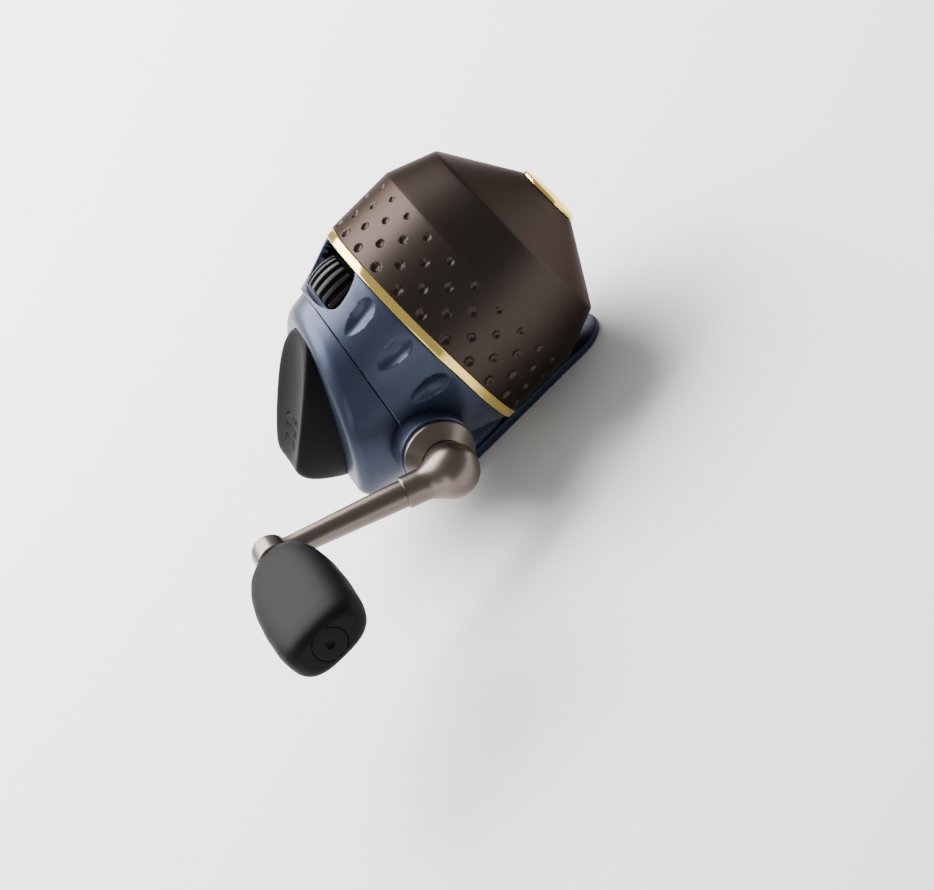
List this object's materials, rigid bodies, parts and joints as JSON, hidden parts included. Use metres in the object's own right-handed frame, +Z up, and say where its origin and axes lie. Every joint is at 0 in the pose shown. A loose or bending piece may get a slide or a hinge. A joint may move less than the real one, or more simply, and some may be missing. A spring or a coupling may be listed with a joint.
{
  "type": "spincast reel",
  "caption": "Closed-face spincast fishing reel with a dimpled round front cover, rear thumb button, top drag dial and a right-hand crank with a paddle knob.",
  "frame": {"origin": "centre of the underside of the foot", "axes": "+X forward along the rod, the way the line leaves; +Y to the angler's left; +Z up, away from the rod"},
  "size_m": [0.116, 0.1155, 0.0663],
  "materials": {
    "gunmetal_cover": "satin brown-grey anodised",
    "gold_plate": "polished",
    "blue_paint": "satin metallic flake",
    "soft_touch": "matte soft touch",
    "black_plastic": "moulded satin",
    "gunmetal_handle": "satin",
    "die_cast": "die cast",
    "brass": "machined",
    "nylon": "moulded",
    "rubber": "matte",
    "steel": "machined"
  },
  "bodies": {
    "reel_body": {"front_cover": "gunmetal_cover", "line_guide": "gold_plate", "trim_ring": "gold_plate", "body_housing": "blue_paint", "rear_cover": "blue_paint", "rear_cover_screws": "steel", "reel_foot": "blue_paint", "foot_screws": "steel", "deck_plate": "die_cast", "deck_screws": "steel", "gear_bridge": "die_cast", "bridge_screws": "steel", "spool_clip": "steel", "drag_washer": "nylon", "drag_plate": "steel", "dial_axle": "steel", "crank_bushing": "brass", "crank_bearing_outer_races": "steel", "crank_bearing_balls": "steel", "clutch_sleeve": "steel", "clutch_rollers": "steel", "pinion_bearing_outer_races": "steel", "pinion_bearing_balls": "steel", "return_spring": "steel", "pickup_cam": "nylon", "button_pin": "steel"},
    "crank": {"crank_shaft": "steel", "drive_gear": "brass", "gear_pin": "steel", "crank_bearing_inner_races": "steel", "clutch_hub": "steel", "crank_clip": "steel", "handle_hub": "gunmetal_handle", "handle_elbow": "gunmetal_handle", "handle_arm": "gunmetal_handle", "knob_shaft": "steel", "knob_screw": "steel"},
    "knob": {"knob": "soft_touch", "knob_bushings": "brass", "knob_plug": "soft_touch"},
    "pinion": {"pinion_gear": "brass", "pinion_bearing_inner_races": "steel"},
    "spinner": {"centre_shaft": "steel", "shaft_collar": "steel", "spinner_head": "steel", "spinner_nut": "brass", "line_snubber": "rubber"},
    "pickup_left": {"pickup_pin_left": "steel"},
    "pickup_right": {"pickup_pin_right": "steel"},
    "spool": {"spool": "die_cast", "spool_bushing": "brass"},
    "dial": {"drag_dial": "black_plastic", "dial_gear": "brass"},
    "drag_ring": {"drag_ring": "brass"},
    "button": {"thumb_button": "soft_touch"}
  },
  "joints": [
    {"name": "crank_turn", "type": "hinge", "parent": "reel_body", "child": "crank", "pos_m": [-0.0174, -0.03, 0.0248], "axis": [0, 1, 0], "continuous": true},
    {"name": "knob_spin", "type": "hinge", "parent": "crank", "child": "knob", "pos_m": [-0.0603, -0.06, 0.04301], "axis": [0, 1, 0], "continuous": true},
    {"name": "pinion_spin", "type": "hinge", "parent": "reel_body", "child": "pinion", "pos_m": [-0.0174, 0, 0.035], "axis": [1, 0, 0], "continuous": true},
    {"name": "shaft_slide", "type": "slide", "parent": "pinion", "child": "spinner", "axis": [1, 0, 0], "range_m": [0, 0.004], "stiffness_N_per_m": 400, "springref_m": -0.004, "deforming": ["return_spring"]},
    {"name": "pickup_left_slide", "type": "slide", "parent": "spinner", "child": "pickup_left", "axis": [0, -1, 0], "range_m": [0, 0.0017]},
    {"name": "pickup_right_slide", "type": "slide", "parent": "spinner", "child": "pickup_right", "axis": [0, 1, 0], "range_m": [0, 0.0017]},
    {"name": "button_press", "type": "hinge", "parent": "reel_body", "child": "button", "pos_m": [-0.022, 0, 0.0536], "axis": [0, -1, 0], "range_deg": [0, 11]},
    {"name": "spool_turn", "type": "hinge", "parent": "reel_body", "child": "spool", "pos_m": [0.012, 0, 0.035], "axis": [1, 0, 0], "continuous": true},
    {"name": "dial_turn", "type": "hinge", "parent": "reel_body", "child": "dial", "pos_m": [-0.007, 0, 0.0533], "axis": [1, 0, 0], "range_deg": [-150, 150]},
    {"name": "drag_ring_turn", "type": "hinge", "parent": "reel_body", "child": "drag_ring", "pos_m": [0.003, 0, 0.035], "axis": [1, 0, 0], "range_deg": [-75, 75]}
  ],
  "couplings": [
    {"joint": "pinion_spin", "follows": "crank_turn", "ratio": -4},
    {"joint": "button_press", "follows": "shaft_slide", "rad_per_m": 47.996},
    {"joint": "pickup_left_slide", "follows": "shaft_slide", "ratio": 0.425},
    {"joint": "pickup_right_slide", "follows": "shaft_slide", "ratio": 0.425},
    {"joint": "drag_ring_turn", "follows": "dial_turn", "ratio": -0.5}
  ]
}
